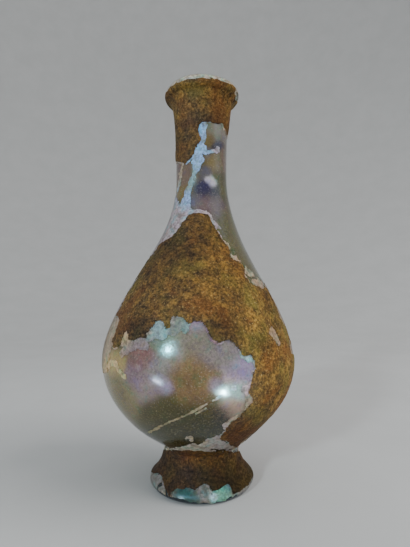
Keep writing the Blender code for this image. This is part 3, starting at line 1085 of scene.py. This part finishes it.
def add_glass():
    """The hollow vessel: its outside and inside joined into one closed mesh."""
    turn = glass_angles()
    along = np.linspace(0, OUTER_LENGTH, int(OUTER_LENGTH / GLASS_ROW_STEP) + 1)[:-1]
    grid_along, grid_angle = np.meshgrid(along, turn, indexing="ij")
    outer = on_surface(grid_along.ravel(), grid_angle.ravel(), GLASS_LEVEL)
    inside = evenly(inner_outline(), INNER_ROW_STEP)[1:]
    radius, angle = (grid.ravel() for grid in np.meshgrid(inside[:, 0], turn, indexing="ij"))
    height = np.repeat(inside[:, 1], len(turn))
    inner = np.column_stack([axis_at(height) + radius * np.cos(angle), radius * np.sin(angle), height])
    middles = [[SAG, 0, HOLLOW_DEPTH + FLOOR_WALL], [SAG, 0, HOLLOW_DEPTH + GLASS_LEVEL]]
    points = np.vstack([inner, outer, middles])
    faces = grid_faces(len(inside) + len(along), len(turn), True).tolist()
    floor, crown = len(points) - 2, len(points) - 1
    foot = floor - len(turn)
    for j in range(len(turn)):
        following = (j + 1) % len(turn)
        faces.append([floor, j, following])
        faces.append([crown, foot + following, foot + j])
    piece = add_mesh("flask_glass", points, faces)
    drift = np.column_stack([unevenness(points, kind) for kind in FILM_DRIFT])
    pixels = photo_pixels(points) + drift
    add_tint(piece, pixels, FILM_COLOURS, OLIVE)
    grime = blended(pixels, GRIME, LIGHT_GRIME, GRIME_SHARE)
    add_colours(piece, "grime", np.repeat(grime, 3, axis=1))
    dress(piece, glass_material())
    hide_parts("flask")
    return piece


def along_at(height):
    """Distance along the outer outline to a height on the outside."""
    crest = int(np.argmax(OUTER[:, 1]))
    return OUTLINE_STEP * (crest + int(np.argmax(OUTER[crest:, 1] < height)))


def add_crust():
    material = crust_material()
    neck, belly, foot = (along_at(height) for height in (NECK_CUT, BELLY_CUT, FOOT_CUT))
    spans = {
        "crust_rim_and_neck": (LAYER_START, neck),
        "crust_shoulder": (neck, belly),
        "crust_belly": (belly, foot),
        "crust_foot": (foot, OUTER_LENGTH - LAYER_END),
    }
    for name, span in spans.items():
        piece, flat = layer_patch(name, span, (0, 2 * math.pi), CRUST_STEP, crust_depth, crust_lift)
        # Tone per point: the crust's own hues, with painted light on the right side and painted shade on
        # the foot
        add_colours(piece, "tone", blended(photo_pixels(flat), CRUST_TONES_AND_PAINTED_SHADE, FULL_TONE, TONE_SHARE))
        dress(piece, material)


def add_flakes():
    material = flake_material()
    whole = (LAYER_START, OUTER_LENGTH - LAYER_END)
    neck = along_at(NECK_CUT)
    front = (math.pi - FRONT_MARGIN, 2 * math.pi + FRONT_MARGIN)
    back = (FRONT_MARGIN, math.pi - FRONT_MARGIN)
    belly = (along_at(SCRATCH_TOP), along_at(SCRATCH_FOOT))
    patches = [
        ("flakes_neck", (whole[0], neck), front, FLAKE_STEP, flake_depth),
        ("flakes_body", (neck, whole[1]), front, FLAKE_STEP, flake_depth),
        ("flakes_back", whole, back, BACK_FLAKE_STEP, flake_depth),
        ("scratch", belly, SCRATCH_TURN, SCRATCH_STEP, scratch_depth),
    ]
    for name, span, turn, step, depth_of in patches:
        piece, flat = layer_patch(name, span, turn, step, depth_of, flake_lift)
        add_tint(piece, photo_pixels(flat), FLAKE_COLOURS, CREAM)
        dress(piece, material)


def add_stage():
    """A pale floor that curves up all round into a backdrop."""
    turn = np.linspace(0, math.pi / 2, STAGE_BEND_ROWS)
    radius = np.concatenate([STAGE_INNER_RINGS, STAGE_FLAT + STAGE_BEND * np.sin(turn)])
    height = np.concatenate([[0] * len(STAGE_INNER_RINGS), STAGE_BEND * (1 - np.cos(turn))])
    radius = np.append(radius, radius[-1])
    height = np.append(height, STAGE_TOP)
    angle = np.arange(STAGE_COLUMNS) * 2 * math.pi / STAGE_COLUMNS
    rings, angles = np.meshgrid(np.arange(len(radius)), angle, indexing="ij")
    rings, angles = rings.ravel(), angles.ravel()
    reach = radius[rings]
    points = np.column_stack([reach * np.cos(angles), reach * np.sin(angles), height[rings]])
    middle = len(points)
    faces = grid_faces(len(radius), STAGE_COLUMNS, True).tolist()
    faces += [[middle, j, (j + 1) % STAGE_COLUMNS] for j in range(STAGE_COLUMNS)]
    stage = add_mesh("stage", np.vstack([points, [[0, 0, 0]]]), faces)
    stage.data.materials.append(stage_material())


def mirrored_ray(piece, pixel):
    """Where a ray through a photo pixel meets the piece, and its mirrored direction."""
    forward, up = camera_axes()
    x = (pixel[0] - PHOTO_WIDTH / 2) / FOCAL_PIXELS
    y = (PHOTO_HEIGHT / 2 - pixel[1]) / FOCAL_PIXELS
    ray = (Vector(forward + y * up) + Vector((x, 0, 0))).normalized()
    tree = BVHTree.FromObject(piece, bpy.context.evaluated_depsgraph_get())
    hit, normal, _, _ = tree.ray_cast(Vector(camera_place()), ray)
    return hit, ray - 2 * ray.dot(normal) * normal


def add_lamp(name, place, target, size, power, spread=180, roll=0):
    light = bpy.data.lights.new(name, "AREA")
    light.shape = "RECTANGLE"
    light.size, light.size_y = size
    light.energy = power
    light.spread = math.radians(spread)
    lamp = bpy.data.objects.new(name, light)
    aim = (Vector(target) - Vector(place)).to_track_quat("-Z", "Y")
    lamp.rotation_euler = (aim @ Quaternion((0, 0, 1), math.radians(roll))).to_euler()
    lamp.location = place
    lamp.visible_camera = False
    bpy.context.scene.collection.objects.link(lamp)
    return lamp


def add_lights(glass):
    """Soft light from two sides, and small lamps that only glint on the glass."""
    for name, pixel, reach, size, power, colour, spread, roll in GLINTS:
        hit, direction = mirrored_ray(glass, pixel)
        glint = add_lamp(name, hit + direction * reach, hit, size, power, spread, roll)
        glint.data.color = colour
        glint.visible_diffuse = False
    hit, direction = mirrored_ray(glass, KEY_PIXEL)
    key = add_lamp("key", hit + direction * KEY_REACH, hit, KEY_SIZE, KEY_POWER)
    key.data.color = KEY_COLOUR
    key.visible_glossy = False
    side = add_lamp("side", SIDE_PLACE, (0, 0, HEIGHT / 2), SIDE_SIZE, SIDE_POWER)
    side.visible_glossy = False
    world = bpy.data.worlds.new("studio")
    world.use_nodes = True
    background = world.node_tree.nodes["Background"]
    set_inputs(background, {"Color": WORLD_COLOUR, "Strength": WORLD_STRENGTH})
    world.cycles_visibility.glossy = False
    bpy.context.scene.world = world


def add_camera():
    data = bpy.data.cameras.new("camera")
    data.sensor_width = SENSOR
    data.lens = FOCAL_PIXELS / PHOTO_HEIGHT * SENSOR
    camera = bpy.data.objects.new("camera", data)
    camera.location = camera_place()
    camera.rotation_euler = (math.pi / 2 + CAMERA_PITCH, 0, 0)
    bpy.context.scene.collection.objects.link(camera)
    bpy.context.scene.camera = camera


def main():
    add_stage()
    add_camera()
    glass = add_glass()
    add_flakes()
    add_crust()
    add_lights(glass)


main()
